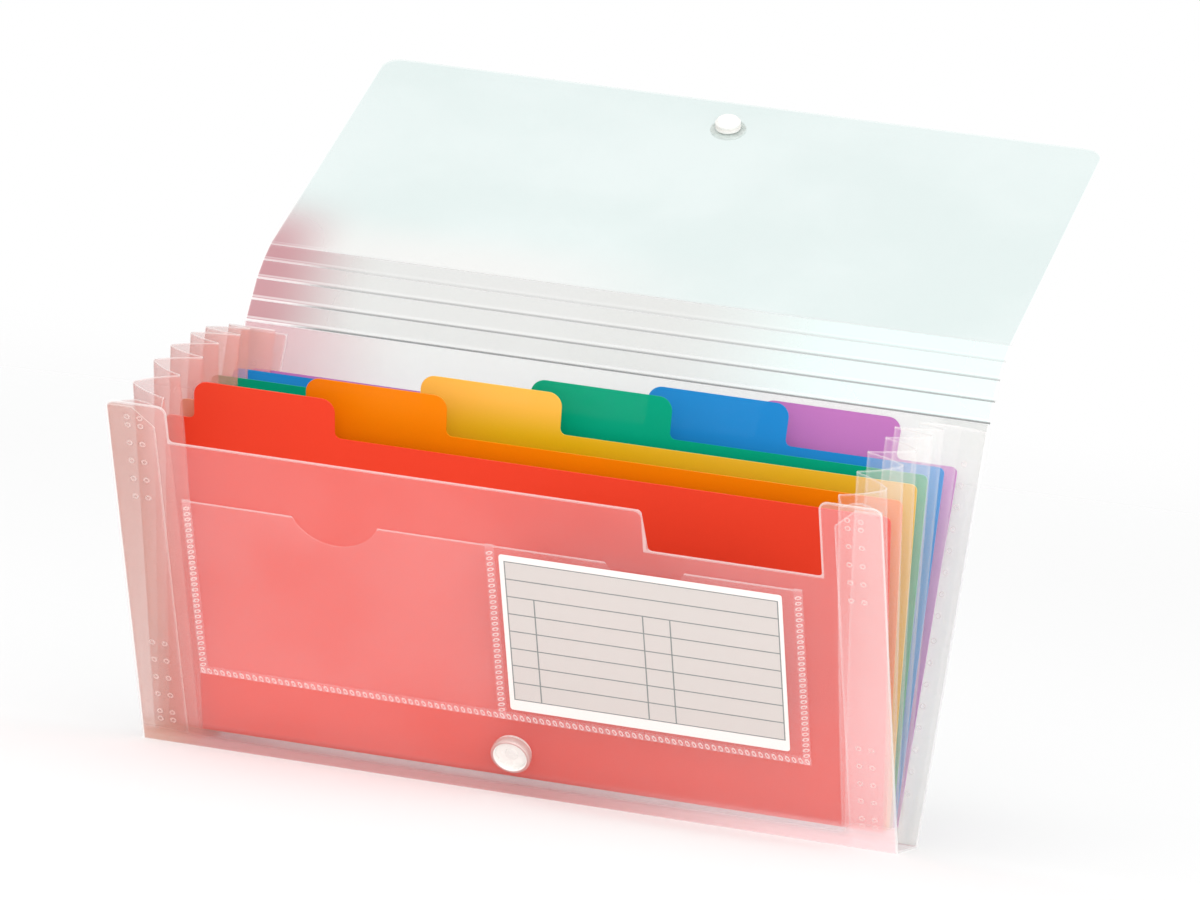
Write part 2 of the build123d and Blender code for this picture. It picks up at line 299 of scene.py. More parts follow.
class WeldLooks(bpy.types.PropertyGroup):
    """Welded marks of the pocket seams and the gusset flaps."""

    stitch_length: size("Stitch length", 2.5, "Length of one mark of a pocket seam")
    stitch_width: size("Stitch width", 1.35, "Width of one mark of a pocket seam")
    stitch_pitch: size("Stitch pitch", 2.15, "Distance between marks of a pocket seam")
    stitch_height: size("Stitch height", 0.12, "How far a mark stands out")
    spot_radius: size("Spot radius", 1.05, "Radius of a weld spot")
    spot_height: size("Spot height", 0.14, "How far the ring of a weld spot stands out")
    spot_pitch: size("Spot pitch", 7.0, "Distance between pairs of weld spots")
    tone: tint("Tone", (255, 240, 236), "Colour of the welded marks")
    stitch_cover: share("Stitch cover", 0.55, "How much one face of a seam mark hides")
    spot_cover: share("Spot cover", 0.34, "How much one face of a weld spot hides")


class CardLooks(bpy.types.PropertyGroup):
    """Ruled index card."""

    paper: tint("Paper", (250, 246, 242), "Bare margin of the card")
    field: tint("Field", (212, 208, 203), "Printed ground of the table")
    ink: tint("Ink", (128, 138, 136), "Ruled lines")
    line_width: size("Line width", 0.38, "Width of a ruled line")


class SnapLooks(bpy.types.PropertyGroup):
    """Moulded snap halves."""

    plastic: tint("Plastic", (246, 244, 240), "Colour of the snap halves")
    rivet: tint("Rivet", (240, 238, 234), "Colour of the rivets")
    # The pink of the wall is painted red light seen through it, and the step is a painted shadow line inside
    # the wall
    wall: tint("Wall", (250, 208, 202), "Haze of the clear wall round the front snap")
    step: tint("Step", (196, 150, 146), "Dark line inside that wall")
    wall_cover: share("Wall cover", 0.4, "How much one face of the wall hides")


class StageLooks(bpy.types.PropertyGroup):
    """Floor, light and camera."""

    floor_tint: tint("Floor tint", (252, 252, 252), "Colour of the floor")
    floor_cover: share("Floor cover", 0.6, "Share of the white ground that the floor hides")
    floor_radius: size("Floor radius", 2600.0, "Radius of the floor")
    ambient: share("Ambient", 0.9, "Strength of the light from all round")
    key_power: power("Key power", 14.0, "Power of the lamp above the left front")
    fill_power: power("Fill power", 30.0, "Power of the lamp low in front")


# Node helpers


def fill(node, inputs):
    """Sets or links a node's sockets, which are given by name or number."""
    for name, value in inputs.items():
        if isinstance(value, bpy.types.NodeSocket):
            node.id_data.links.new(value, node.inputs[name])
        else:
            node.inputs[name].default_value = value


def add(kind, inputs=None, tree=None, **settings):
    """New shader node with its settings and filled sockets. Without a tree, it joins that of a socket."""
    inputs = inputs or {}
    if tree is None:
        tree = next(value.id_data for value in inputs.values() if isinstance(value, bpy.types.NodeSocket))
    made = tree.nodes.new(f"ShaderNode{kind}")
    for name, value in settings.items():
        setattr(made, name, value)
    fill(made, inputs)
    return made


def maths(operation, first, second=0.0, clamp=False):
    """Output of a Math node."""
    return add("Math", {0: first, 1: second}, operation=operation, use_clamp=clamp).outputs[0]


plus = partial(maths, "ADD")
minus = partial(maths, "SUBTRACT")
times = partial(maths, "MULTIPLY")


def most(result, *others):
    """Largest of several values."""
    for value in others:
        result = maths("MAXIMUM", result, value)
    return result


def vector(operation, *values):
    """Outputs of a Vector Math node."""
    return add("VectorMath", dict(enumerate(values)), operation=operation).outputs


def object_place(tree):
    """Place on the object, in metres."""
    return add("TexCoord", tree=tree).outputs["Object"]


def attribute(tree, name):
    """Value stored at the points of a mesh."""
    return add("Attribute", tree=tree, attribute_name=name).outputs["Fac"]


def noise(place, scale, detail):
    """Value of a Noise Texture node."""
    return add("TexNoise", {"Vector": place, "Scale": scale, "Detail": detail}).outputs[0]


def ramp(value, low, high, out_low=0.0, out_high=1.0):
    """Output of a smooth Map Range node."""
    ends = {"Value": value, "From Min": low, "From Max": high, "To Min": out_low, "To Max": out_high}
    return add("MapRange", ends, interpolation_type="SMOOTHSTEP").outputs["Result"]


def mix(factor, *tones):
    """Output of a colour Mix node between two tones."""
    first, second = (
        tone if isinstance(tone, bpy.types.NodeSocket) else (*tone, 1.0) for tone in tones
    )
    return add("Mix", {0: factor, 6: first, 7: second}, data_type="RGBA").outputs[2]


def speckled(value, grain, depth, clamp=False):
    """Value that a grain moves up and down by half of a depth."""
    return plus(value, times(minus(grain, 0.5), depth), clamp)


def dimmed(colour, factor):
    """Darker or lighter copy of a colour."""
    return tuple(min(1.0, value * factor) for value in colour)


def toned(looks, name, factor):
    """Darker or lighter copy of a colour property."""
    return dimmed(getattr(looks, name), factor)


# Node groups


def leaf_position(given):
    """Millimetres across and up a leaf, and how much a face looks along the leaf."""
    place = add("TexCoord", tree=given[0].id_data).outputs
    offset = vector("SUBTRACT", place["Object"], given["Crease"])["Vector"]
    up = vector("DOT_PRODUCT", offset, given["Rise"])["Value"]
    facing = vector("DOT_PRODUCT", place["Normal"], given["Front"])["Value"]
    across = add("SeparateXYZ", {0: offset}).outputs["X"]
    rim = ramp(maths("ABSOLUTE", facing), 0.85, 0.4)
    return {"Across": times(across, 1 / MM), "Up": times(up, 1 / MM), "Rim": rim}


def outline_inset(given):
    """Distance in millimetres inside an outline with a straight top and rounded corners, open below."""
    across, up, left, right, top, radius = given[:6]
    middle = times(plus(left, right), 0.5)
    half = minus(times(minus(right, left), 0.5), radius)
    beyond = minus(maths("ABSOLUTE", minus(across, middle)), half)
    above = plus(minus(up, top), radius)
    corner = add("CombineXYZ", {"X": most(beyond, 0.0), "Y": most(above, 0.0)}).outputs[0]
    outside = vector("LENGTH", corner)["Value"]
    inside = maths("MINIMUM", most(beyond, above), 0.0)
    signed = minus(plus(outside, inside), radius)
    return {"Inset": times(signed, -1.0)}


def frosted_sheet(given):
    """Fine grain, drawn streaks and slow clouds of frosted sheet."""
    place = object_place(given[0].id_data)
    grain = noise(place, given["Grain Scale"], 2.0)
    cloud = noise(place, given["Cloud Scale"], 3.0)
    drawn = add("Mapping", {"Vector": place, "Scale": (8.0, 260.0, 260.0)}).outputs[0]
    streak = noise(drawn, 1.0, 2.0)
    rough = speckled(given["Roughness"], grain, 0.18)
    return {
        "Grain": grain,
        "Cloud": ramp(cloud, 0.35, 0.65),
        "Rough": speckled(rough, cloud, 0.2, clamp=True),
        "Height": plus(grain, times(streak, 0.6)),
    }


def line_mask(given):
    """Soft mask that is 1 on a line and 0 beyond its half width."""
    away = maths("ABSOLUTE", given["Distance"])
    near = times(given["Half Width"], 0.4)
    return {"Mask": ramp(away, given["Half Width"], near)}


# Each group: what fills it, and the sockets it is given with their defaults
GROUPS = {
    "Leaf Position": (leaf_position, {"Crease": (0, 0, 0), "Rise": (0, 0, 1), "Front": (0, -1, 0)}),
    "Outline Inset": (
        outline_inset,
        {"Across": 0.0, "Up": 0.0, "Left": -1.0, "Right": 1.0, "Top": 1.0, "Radius": 0.0},
    ),
    "Frosted Sheet": (frosted_sheet, {"Grain Scale": 3200.0, "Cloud Scale": 14.0, "Roughness": 0.42}),
    "Soft Line": (line_mask, {"Distance": 0.0, "Half Width": 1.0}),
}


def node_group(name):
    """Builds a shader node group with its sockets."""
    build, given = GROUPS[name]
    tree = bpy.data.node_groups.new(name, "ShaderNodeTree")
    for socket, default in given.items():
        kind = "NodeSocketFloat" if isinstance(default, float) else "NodeSocketVector"
        made = tree.interface.new_socket(name=socket, in_out="INPUT", socket_type=kind)
        made.default_value = default
    results = build(tree.nodes.new("NodeGroupInput").outputs)
    for socket in results:
        tree.interface.new_socket(name=socket, in_out="OUTPUT", socket_type="NodeSocketFloat")
    fill(tree.nodes.new("NodeGroupOutput"), results)
    return tree


def group(name, inputs, tree=None):
    """Places a node group, building it the first time. Gives its outputs."""
    made = bpy.data.node_groups.get(name) or node_group(name)
    return add("Group", inputs, tree, node_tree=made).outputs


def leaf_place(tree, leaf):
    """Outputs of the Leaf Position group on one leaf."""
    return group("Leaf Position", dict(zip(("Crease", "Rise", "Front"), leaf_axes(leaf))), tree)


def soft_line(distance, half_width):
    """Mask of the Soft Line group."""
    return group("Soft Line", {"Distance": distance, "Half Width": half_width})["Mask"]


# Materials

PLASTIC_IOR = 1.49
SHADOW_LOSS = 0.65
CLOUD_SPAN = 0.2
FILM_GRAIN = 0.012
FILM_RELIEF = 0.003
SHEET_RELIEF = 0.015
WELD_RELIEF = 0.01
PAPER_RELIEF = 0.02
# Painted glow along the cut edges of the cover sheets
EDGE_GLOW_TONE = (0.93, 0.93, 0.92)
# Painted glow along the pleats' upper edge and cut edges
RIM_GLOW_TONE = (0.93, 0.9, 0.89)
# Painted highlight beside a crease, and the painted highlight a crease turns into at its left end
CREASE_HIGHLIGHT = (0.96, 0.96, 0.95)
CREASE_END_HIGHLIGHT = (0.96, 0.92, 0.92)
CREASE_END = (-98.0, -112.0)
CREASE_COVER = 0.6
FIBRE_TONE = (0.6, 0.58, 0.55)

# X over which the pleats go over from the haze of their crests, and Z below which their cover fades
CREST_FADE = (108.0 * MM, 119.0 * MM)
FOOT_FADE = 100.0 * MM


def surface(name, specular=0.5):
    """New material with a Principled BSDF. Gives the material, its tree and the shader."""
    material = bpy.data.materials.new(name)
    material.use_nodes = True
    tree = material.node_tree
    tree.nodes.clear()
    shader = add("BsdfPrincipled", {"IOR": PLASTIC_IOR, "Specular IOR Level": specular}, tree)
    add("OutputMaterial", {"Surface": shader.outputs[0]})
    return material, tree, shader


def fill_shader(shader, grain, colour, depth, alpha=1.0):
    """Fills the shader, with the roughness and height of a grain and relief of a depth in millimetres."""
    relief = add("Bump", {"Height": grain["Height"], "Distance": depth * MM, "Strength": 1.0}).outputs[0]
    fill(shader, {"Base Color": colour, "Alpha": alpha, "Roughness": grain["Rough"], "Normal": relief})


def hazy(alpha):
    """Alpha that stops less of the light, since haze passes most of it on."""
    shadow = add("LightPath", tree=alpha.id_data).outputs["Is Shadow Ray"]
    return times(alpha, minus(1.0, times(shadow, SHADOW_LOSS)))


def cast_mask(place, ranges):
    """Mask that is 1 where every axis of a leaf has reached the second value of its range."""
    result = 1.0
    for axis, low, high in ranges:
        result = times(ramp(place[axis], low, high), result)
    return result


def edge_glow_mask(place, outlines, looks, dim_below):
    """Mask of the painted glow along the cut edges of outlines, with the cut faces dim below a height.
    An outline is its left, right, top and radius."""
    insets = []
    for outline in outlines:
        sizes = dict(zip(("Left", "Right", "Top", "Radius"), outline))
        sizes.update({"Across": place["Across"], "Up": place["Up"]})
        insets.append(group("Outline Inset", sizes)["Inset"])
    cut = place["Rim"]
    if dim_below:
        cut = times(cut, ramp(place["Up"], dim_below - 1.0, dim_below, 0.2, 1.0))
    return most(soft_line(most(*insets), looks.edge_width / MM), cut)


def film(name, leaf, looks, tone, cover, outlines, creases=(), casts=(), dim_below=None, edge_glow_cover=None):
    """Frosted sheet with clouds in its tint, a painted glow along its cut edges, scored creases with painted
    shade and a painted highlight, and casts of colour, some of them painted light and shade.
    A crease is its height and strength. A cast is as in the tables of the cover sheets."""
    material, tree, shader = surface(name)
    place = leaf_place(tree, leaf)
    frost = group("Frosted Sheet", {}, tree)
    rim = edge_glow_mask(place, outlines, looks, dim_below)
    tint_name, *dims = tone
    colour = mix(frost["Cloud"], *(toned(looks, tint_name, dim) for dim in dims))
    alpha = times(speckled(1.0, frost["Cloud"], -CLOUD_SPAN), cover)
    alpha = speckled(alpha, frost["Grain"], FILM_GRAIN)
    # Casts: some are painted light or shade, as their tables say
    for ranges, cast_tint, dim, added in casts:
        cast = cast_mask(place, ranges)
        colour = mix(cast, colour, toned(looks, cast_tint, dim))
        alpha = plus(alpha, times(cast, added))
    # Painted glow along the cut edges
    colour = mix(rim, colour, EDGE_GLOW_TONE)
    alpha = most(alpha, times(rim, edge_glow_cover or looks.edge_glow_cover))
    # Painted shade along each crease with a painted highlight beside it; towards the left end the crease
    # turns into a painted highlight
    shade = mix(ramp(place["Across"], *CREASE_END), looks.painted_crease_shade, CREASE_END_HIGHLIGHT)
    width = looks.crease_width / MM
    for level, strength in creases:
        above = minus(place["Up"], level)
        dark = times(soft_line(above, width), strength)
        light = times(soft_line(minus(above, 2 * width), width), strength / 2)
        colour = mix(dark, mix(light, colour, CREASE_HIGHLIGHT), shade)
        alpha = most(alpha, times(dark, CREASE_COVER), times(light, CREASE_COVER))
    fill_shader(shader, frost, colour, FILM_RELIEF, hazy(alpha))
    return material


def divider_sheet(name, leaf, colour, foot, looks):
    """Coloured sheet that fades to its foot's colour below the tab, which for the yellow one is painted
    shade, with a painted glow on its cut edges.
    """
    material, tree, shader = surface(name, specular=0.07)
    place = leaf_place(tree, leaf)
    frost = group("Frosted Sheet", {"Cloud Scale": 9.0, "Roughness": 0.36}, tree)
    low = looks.tab_foot / MM
    # Below the tab, the yellow sheet takes its painted shade
    body = mix(ramp(place["Up"], low + looks.tab_fade / MM, low), colour, foot)
    body = mix(times(frost["Cloud"], 0.3), body, dimmed(colour, 0.8))
    # Painted glow on the cut faces
    body = mix(place["Rim"], body, dimmed(colour, 1.25))
    alpha = speckled(looks.cover, frost["Grain"], 0.06)
    alpha = most(alpha, times(place["Rim"], 0.9))
    fill_shader(shader, frost, body, SHEET_RELIEF, alpha)
    return material


def gusset_film(name, colour, inner, cover):
    """Film of the pleats, with its own haze at the crests, a painted highlight along its folds and a painted
    glow along its upper edge; on the left its tints carry painted red light.
    """
    material, tree, shader = surface(name)
    frost = group("Frosted Sheet", {"Cloud Scale": 22.0, "Roughness": 0.38}, tree)
    fold, rim = attribute(tree, "fold"), attribute(tree, "rim")
    place = add("SeparateXYZ", {0: object_place(tree)}).outputs
    outside = ramp(maths("ABSOLUTE", place["X"]), *CREST_FADE)
    body = mix(outside, inner, colour)
    body = mix(times(frost["Cloud"], 0.5), body, dimmed(colour, 1.25))
    body = mix(rim, body, RIM_GLOW_TONE)
    alpha = times(ramp(outside, 0.0, 1.0, 0.7, 1.0), cover)
    alpha = times(alpha, ramp(place["Z"], 0.0, FOOT_FADE, 0.6, 1.0))
    alpha = speckled(alpha, frost["Grain"], FILM_GRAIN)
    # Painted highlight along the folds and crests, and painted glow along the upper edge
    alpha = plus(alpha, times(fold, 0.05))
    alpha = plus(alpha, times(rim, 0.2), clamp=True)
    fill_shader(shader, frost, body, FILM_RELIEF, hazy(alpha))
    return material


def weld_material(name, looks, cover):
    """Pale haze of welded film, thicker on the ring round each mark."""
    material, tree, shader = surface(name)
    frost = group("Frosted Sheet", {"Grain Scale": 2600.0, "Roughness": 0.3}, tree)
    tone = tuple(looks.tone)
    colour = mix(frost["Grain"], tone, dimmed(tone, 0.9))
    hidden = times(ramp(attribute(tree, "rim"), 0.0, 1.0, 0.06, 1.0), cover)
    alpha = times(plus(frost["Grain"], 0.5), hidden, clamp=True)
    fill_shader(shader, frost, colour, WELD_RELIEF, alpha)
    return material


def card_paper(looks):
    """Paper with a printed table of ruled lines and no words."""
    material, tree, shader = surface("card_paper", specular=0.25)
    place = leaf_place(tree, "front")
    across, up = place["Across"], place["Up"]
    left, right, bottom, top = TABLE.values()
    row = (top - bottom) / TABLE_ROWS
    half = looks.line_width / MM / 2

    def line(distance):
        return soft_line(distance, 1.6 * half)

    def within(value, low, high):
        above = maths("GREATER_THAN", value, low - half)
        return times(above, maths("LESS_THAN", value, high + half))

    field = times(within(across, left, right), within(up, bottom, top))
    rows = maths("PINGPONG", minus(up, bottom), row)
    lines = [line(maths("MINIMUM", rows, minus(row, rows)))]
    lines += [line(minus(across, edge)) for edge in (left, right)]
    below_head = maths("LESS_THAN", up, top - TABLE_HEAD * row + half)
    for part in TABLE_UPRIGHTS:
        upright = line(minus(across, left + part * (right - left)))
        lines.append(times(upright, below_head))
    ink = times(most(*lines), field)
    fibre = noise(object_place(tree), 900.0, 4.0)
    paper = mix(field, tuple(looks.paper), tuple(looks.field))
    paper = mix(times(fibre, 0.1), paper, FIBRE_TONE)
    colour = mix(ink, paper, tuple(looks.ink))
    grain = {"Rough": ramp(fibre, 0.2, 0.8, 0.7, 0.9), "Height": fibre}
    fill_shader(shader, grain, colour, PAPER_RELIEF)
    return material


def clear_wall(tree, tone, looks):
    """Colour and alpha of a pale disc inside a clear wall, for the half of the snap on the front. The wall's
    pink is painted red light and the line between them is a painted shadow.
    """
    place = leaf_place(tree, "front")
    up = minus(place["Up"], SOCKET["up"])
    offset = add("CombineXYZ", {"X": place["Across"], "Y": up}).outputs[0]
    beyond = minus(vector("LENGTH", offset)["Value"], SOCKET["disc"])
    wall = ramp(beyond, 0.0, SOCKET["soft"])
    # Painted shadow line inside the wall
    step = soft_line(beyond, SOCKET["step"])
    colour = mix(step, mix(wall, tone, tuple(looks.wall)), tuple(looks.step))
    return colour, ramp(wall, 0.0, 1.0, 1.0, looks.wall_cover)


def snap_plastic(name, tone, looks, walled):
    """Moulded plastic that light enters a little."""
    material, tree, shader = surface(name)
    frost = group("Frosted Sheet", {"Grain Scale": 900.0, "Cloud Scale": 160.0, "Roughness": 0.26}, tree)
    colour, alpha = mix(frost["Cloud"], tone, dimmed(tone, 0.93)), 1.0
    if walled:
        colour, alpha = clear_wall(tree, colour, looks)
    fill(shader, {"Coat Weight": 0.25, "Subsurface Weight": 0.15, "Subsurface Radius": (2 * MM,) * 3})
    fill_shader(shader, frost, colour, WELD_RELIEF, alpha)
    return material


def dress(material, *names):
    """Gives CAD nodes one material."""
    for name in names:
        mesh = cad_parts[name].data
        mesh.materials.clear()
        mesh.materials.append(material)


def new_piece(name, vertices, faces, material, attributes=None):
    """Mesh object from points in metres, with outward normals and optional point values."""
    mesh = bpy.data.meshes.new(name)
    mesh.from_pydata([tuple(point) for point in vertices], [], faces)
    work = bmesh.new()
    work.from_mesh(mesh)
    bmesh.ops.recalc_face_normals(work, faces=work.faces)
    work.to_mesh(mesh)
    work.free()
    for label, values in (attributes or {}).items():
        mesh.attributes.new(label, "FLOAT", "POINT").data.foreach_set("value", values)
    mesh.materials.append(material)
    piece = bpy.data.objects.new(name, mesh)
    bpy.context.scene.collection.objects.link(piece)
    return piece


# Cover sheets. A cast is its ranges on the leaf, each from none to full, a tint, its dimming and added cover.

FRONT_OUTLINES = (
    (-COVER_HALF, COVER_HALF, DIP_HEIGHT, 0.0),
    (-COVER_HALF, DIP_START, BRIM_HEIGHT, CORNER_RADIUS),
    (-COVER_HALF, -EAR_INSIDE, EAR_HEIGHT, CORNER_RADIUS),
    (EAR_INSIDE, COVER_HALF, EAR_HEIGHT, CORNER_RADIUS),
)
FLAP_OUTLINES = ((-COVER_HALF, COVER_HALF, FLAP_LENGTH, FLAP_RADIUS),)
OPEN_TOP = 500.0
SIDES_ONLY = ((-COVER_HALF, COVER_HALF, OPEN_TOP, 0.0),)
# Front casts: painted shade at the foot and along the fold, painted red light on the left end, a whiter haze
# towards the right, and painted light on the lower right ear
FRONT_CASTS = (
    ((("Up", 10.0, 7.0),), "painted_foot_shade", 1.0, 0.14),
    ((("Up", 6.0, 2.5),), "painted_fold_shade", 1.0, 0.28),
    ((("Across", -98.0, -120.0),), "painted_ear_red_bounce", 1.0, 0.12),
    ((("Across", 0.0, 104.0),), "front_haze_and_red_bounce", 1.0, 0.03),
    ((("Across", 107.0, 112.0), ("Up", 115.0, 30.0)), "front_haze_and_red_bounce", 1.0, 0.16),
)
# Back casts: painted red light on the left end, and a darker, hazier band at the right end
BACK_CASTS = (
    ((("Across", -62.0, -118.0),), "painted_red_bounce", 1.0, 0.16),
    ((("Across", 106.0, 112.0),), "back_tint", 0.86, 0.1),
)
# Strip casts: a lighter, bluer tone towards the right, and painted red light on the left end
STRIP_CASTS = (
    ((("Across", 10.0, 90.0),), "flap_tint", 1.4, 0.0),
    ((("Across", -84.0, -122.0),), "painted_red_bounce", 0.8, 0.33),
)
# Flap casts: the back's tint towards the lower left, and painted red light on the left end
FLAP_CASTS = (
    ((("Up", 30.0, 2.0), ("Across", 40.0, -60.0)), "back_tint", 1.0, 0.0),
    ((("Up", 40.0, 0.0), ("Across", -96.0, -124.0)), "painted_red_bounce", 0.8, 0.28),
)
STRIP_CREASES = (1.0, 0.85, 0.75, 0.5)

# Node, material, leaf, tint with its two dimmings, cover, outlines, creases and casts of each sheet
SHEETS = (
    ("front_panel", "front_film", "front", ("front_haze_and_red_bounce", 1.0, 0.92), "front_cover",
     FRONT_OUTLINES, (), FRONT_CASTS),
    # The bottom's pink tint is painted red light from the red divider above it
    ("bottom_panel", "bottom_film", "front", ("painted_red_bounce", 1.0, 1.2), "back_cover", SIDES_ONLY, (), ()),
    ("back_panel", "back_film", "back", ("back_tint", 1.0, 0.94), "back_cover",
     SIDES_ONLY, ((BACK_HEIGHT, 1.0),), BACK_CASTS),
    ("flap_panel", "flap_film", "flap", ("flap_tint", 1.0, 1.07), "back_cover",
     FLAP_OUTLINES, ((0.0, 0.25),), FLAP_CASTS),
    *(
        (f"flap_strip_{number}", f"strip_film_{number}", f"strip_{number}", ("back_tint", 0.8, 0.76),
         "strip_cover", SIDES_ONLY, ((0.0, strength),), STRIP_CASTS)
        for number, strength in enumerate(STRIP_CREASES, start=1)
    ),
)


class FILE_OT_cover(bpy.types.Operator):
    """Dress the bottom, front, back, creased strips and flap in frosted sheet"""

    bl_idname = "expanding_file.cover"
    bl_label = "Cover"

    def execute(self, context):
        looks = context.scene.cover_looks
        for node, name, leaf, tone, cover, outlines, creases, casts in SHEETS:
            dress(film(name, leaf, looks, tone, getattr(looks, cover), outlines, creases, casts), node)
        return {"FINISHED"}


class FILE_OT_dividers(bpy.types.Operator):
    """Dress the six coloured dividers"""

    bl_idname = "expanding_file.dividers"
    bl_label = "Dividers"

    def execute(self, context):
        looks = context.scene.divider_looks
        for name, _, _ in DIVIDERS:
            leaf = f"divider_{name}"
            colour = tuple(getattr(looks, name))
            # Only the yellow divider has a foot colour, its painted shade below the tab
            foot = tuple(getattr(looks, f"{name}_foot", colour))
            dress(divider_sheet(f"{name}_sheet", leaf, colour, foot, looks), leaf)
        return {"FINISHED"}


# Gussets


def leaf_y(level, lean, place):
    """Y of a leaf's middle at one level."""
    return FRONT_CREASE + place * PITCH - (level - CREASE_LEVEL) * tan(radians(lean))


def fold_lines(level, fold_flat):
    """X, front Y and rear Y of each outer fold at one level, from the front panel to the back panel."""
    front_lean, back_lean = LEAVES["front"][2], LEAVES["back"][2]
    front_glue = leaf_y(level, front_lean, 0) + GLUE_OFFSET / cos(radians(front_lean))
    back_glue = leaf_y(level, back_lean, PITCH_COUNT) - GLUE_OFFSET / cos(radians(back_lean))
    lines = [(GLUE_FOLD, front_glue, front_glue + fold_flat)]
    for lean, place in FOLDS:
        middle = leaf_y(level, lean, place)
        lines.append((OUTER_FOLD, middle - fold_flat / 2, middle + fold_flat / 2))
    lines.append((GLUE_FOLD - LAST_STEP, leaf_y(level, *LAST_LEAF) - fold_flat / 2, back_glue))
    return lines


def bowed(start, end, bow):
    """Points of a pleat panel between its fold and its crest, pushed sideways in a shallow arc."""
    along = end[0] - start[0], end[1] - start[1]
    length = hypot(*along)
    for step in PANEL_STEPS:
        push = bow * 4 * step * (1 - step) / length
        yield start[0] + along[0] * step - along[1] * push, start[1] + along[1] * step + along[0] * push


def zigzag(level, looks):
    """Middle line of the pleats at one level for the right-hand side.
    Each half pleat has the same number of points, and shares its ends with its neighbours."""
    crest_flat, width = looks.crest_flat / MM, looks.pleat_width / MM
    lines = fold_lines(level, looks.fold_flat / MM)
    points = [lines[0][:2]]
    for (x, _, rear), (next_x, next_front, next_rear) in zip(lines, lines[1:]):
        middle = (rear + next_front) / 2
        spread = (next_front - rear - crest_flat) / 2
        crest = OUTER_FOLD - sqrt(width**2 - spread**2)
        bow = -looks.bow * (next_front - rear)
        fold, next_fold = (x, rear), (next_x, next_front)
        crest_front, crest_rear = (crest, middle - crest_flat / 2), (crest, middle + crest_flat / 2)
        points += [fold, *bowed(fold, crest_front, bow), crest_front, (crest, middle), crest_rear]
        points += [*bowed(crest_rear, next_fold, bow), next_fold, (next_x, (next_front + next_rear) / 2)]
    points[-1] = (GLUE_FOLD, lines[-1][2])
    return points


def beside(points, index, offset):
    """Point of a line moved sideways with a mitred corner."""
    x, y = points[index]
    before = points[max(index - 1, 0)]
    after = points[min(index + 1, len(points) - 1)]
    start = atan2(y - before[1], x - before[0]) if index else atan2(after[1] - y, after[0] - x)
    end = atan2(after[1] - y, after[0] - x) if index < len(points) - 1 else start
    half_turn = atan2(sin(end - start), cos(end - start)) / 2
    reach = offset / cos(half_turn)
    return x - reach * sin(start + half_turn), y + reach * cos(start + half_turn)


def rim_circle():
    """Centre and radius, in the YZ plane, of the arc that the tops of the leaves lie on."""
    lean, place = RIM_LEAF
    middle = (FRONT_CREASE + place * PITCH, CREASE_LEVEL, lean)
    leaves = (LEAVES["front"], middle, LEAVES["back"])
    a, b, c = (complex(*up_leaf(*leaf, GUSSET_HEIGHT)) for leaf in leaves)
    turn = (c - a) / (b - a)
    centre = a + (b - a) * (turn - abs(turn) ** 2) / (2j * turn.imag)
    return centre.real, centre.imag, abs(a - centre)


def film_levels(foot, top, rows):
    """Heights of the rows of a film panel, the last one a narrow band above the others."""
    return [foot + (top - RIM_BAND - foot) * row / (rows - 1) for row in range(rows)] + [top]


def gusset_columns(looks):
    """Points of the right-hand pleats: a column for each point of the line, with both faces of the film."""
    y0, z0, radius = rim_circle()
    front_y, front_z, _ = LEAVES["front"]
    _, front_rise, _ = leaf_axes("front")
    inner_edge = GLUE_FOLD - looks.pleat_width / MM
    half = looks.film / MM / 2
    columns = []
    for index in range(len(zigzag(GUSSET_HEIGHT, looks))):
        top = GUSSET_HEIGHT
        for _ in range(RIM_PASSES):
            x, y = zigzag(top, looks)[index]
            top = z0 + sqrt(radius**2 - (y - y0) ** 2)
            if index < HALF_POINTS - 2:
                allowed = GUSSET_HEIGHT - max(0.0, CORNER_CUT - (x - inner_edge))
                up = (y - front_y) * front_rise.y + (top - front_z) * front_rise.z
                top -= max(0.0, up - allowed) * front_rise.z
        column = []
        for level in film_levels(GUSSET_FOOT, top, looks.rows):
            points = zigzag(level, looks)
            column.append([(*beside(points, index, offset), level) for offset in (half, -half)])
        columns.append(column)
    return columns


def slab(sections):
    """Faces of a closed thin panel. A section has pairs of vertex numbers from foot to rim."""
    faces = []
    for left, right in zip(sections, sections[1:]):
        for low, high in zip(range(len(left)), range(1, len(left))):
            faces.append((left[low][0], right[low][0], right[high][0], left[high][0]))
            faces.append((left[low][1], left[high][1], right[high][1], right[low][1]))
        faces.append((left[0][0], left[0][1], right[0][1], right[0][0]))
        faces.append((left[-1][0], right[-1][0], right[-1][1], left[-1][1]))
    for column in (sections[0], sections[-1]):
        for low, high in zip(column, column[1:]):
            faces.append((low[0], high[0], high[1], low[1]))
    return faces


def film_piece(name, columns, marks, material, first_is_edge=False):
    """Closed film panel from columns of point pairs in metres, with a fold mark for each column."""
    vertices, sections, folds, rims = [], [], [], []
    for column, mark in zip(columns, marks):
        first = len(vertices)
        for pair in column:
            vertices.extend(pair)
            # Rim marks the cut edges that get a painted glow
            rims += [float(first_is_edge and not first)] * 2
        rims[-2:] = [1.0, 1.0]
        folds += [mark] * (len(vertices) - first)
        sections.append([(low, low + 1) for low in range(first, len(vertices), 2)])
    return new_piece(name, vertices, slab(sections), material, {"fold": folds, "rim": rims})


def pleat_piece(name, columns, marks, side, material):
    """One half pleat on the right (1) or left (-1) side."""
    placed = [
        [[(side * x * MM, y * MM, z * MM) for x, y, z in pair] for pair in column] for column in columns
    ]
    return film_piece(name, placed, marks, material)


